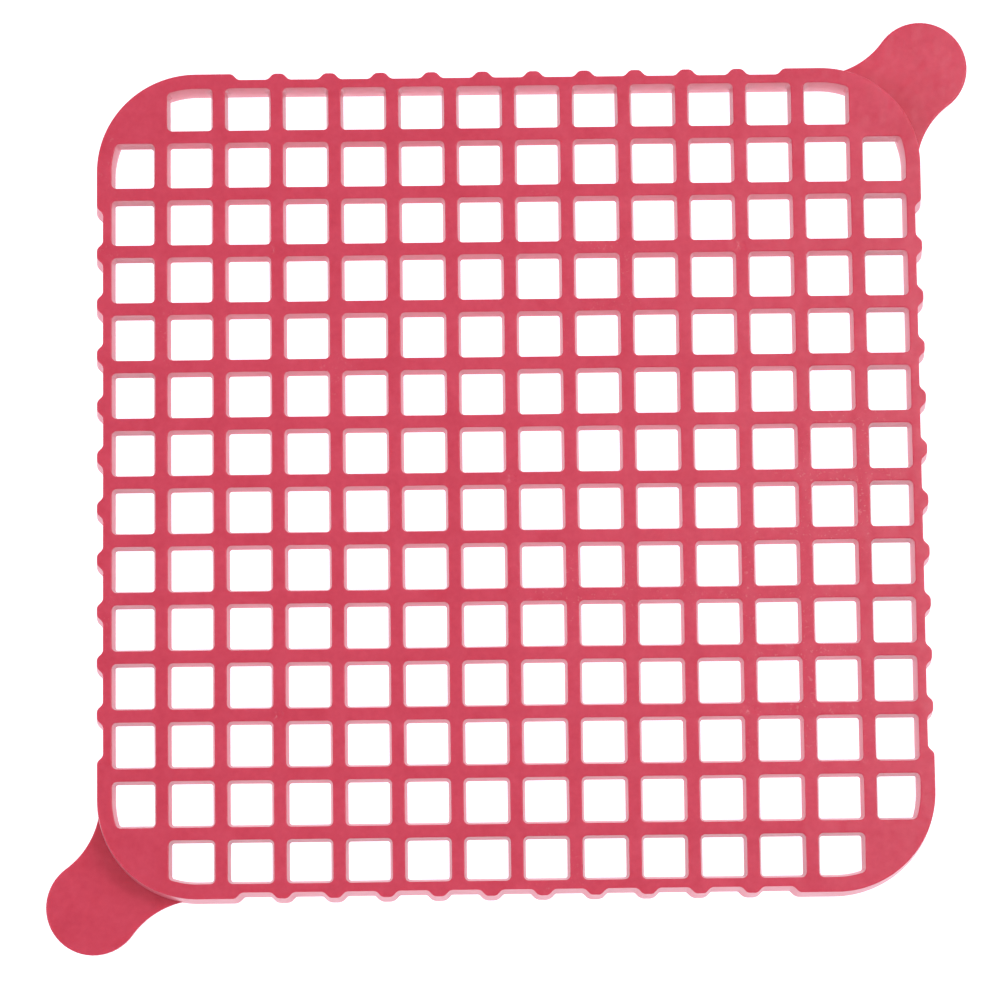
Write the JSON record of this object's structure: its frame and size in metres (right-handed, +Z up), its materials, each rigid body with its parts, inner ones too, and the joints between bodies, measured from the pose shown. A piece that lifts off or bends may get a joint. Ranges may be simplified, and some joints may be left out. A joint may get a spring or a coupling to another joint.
{
  "type": "trough feeder grid",
  "caption": "Square moulded feed-saver grid for a poultry feed trough or tray, with a drafted lattice, a ribbed skirt, rounded corners and two lifting tabs.",
  "frame": {"origin": "middle of the square grid, on the plane of the skirt's foot", "axes": "+Z up to the pecking face, +X to the right along the rows, +Y to the back; the lifting tabs are at +X +Y and -X -Y"},
  "size_m": [0.3208, 0.3208, 0.014],
  "materials": {
    "red_plastic": "satin moulded polypropylene, slightly translucent"
  },
  "bodies": {
    "root": {"row_bar_01": "red_plastic", "row_bar_02": "red_plastic", "row_bar_03": "red_plastic", "row_bar_04": "red_plastic", "row_bar_05": "red_plastic", "row_bar_06": "red_plastic", "row_bar_07": "red_plastic", "row_bar_08": "red_plastic", "row_bar_09": "red_plastic", "row_bar_10": "red_plastic", "row_bar_11": "red_plastic", "row_bar_12": "red_plastic", "row_bar_13": "red_plastic", "column_bar_01": "red_plastic", "column_bar_02": "red_plastic", "column_bar_03": "red_plastic", "column_bar_04": "red_plastic", "column_bar_05": "red_plastic", "column_bar_06": "red_plastic", "column_bar_07": "red_plastic", "column_bar_08": "red_plastic", "column_bar_09": "red_plastic", "column_bar_10": "red_plastic", "column_bar_11": "red_plastic", "column_bar_12": "red_plastic", "column_bar_13": "red_plastic", "side_wall_front": "red_plastic", "side_wall_right": "red_plastic", "side_wall_back": "red_plastic", "side_wall_left": "red_plastic", "corner_back_right": "red_plastic", "corner_back_left": "red_plastic", "corner_front_left": "red_plastic", "corner_front_right": "red_plastic", "lift_tab_back_right": "red_plastic", "lift_tab_front_left": "red_plastic"}
  },
  "joints": []
}
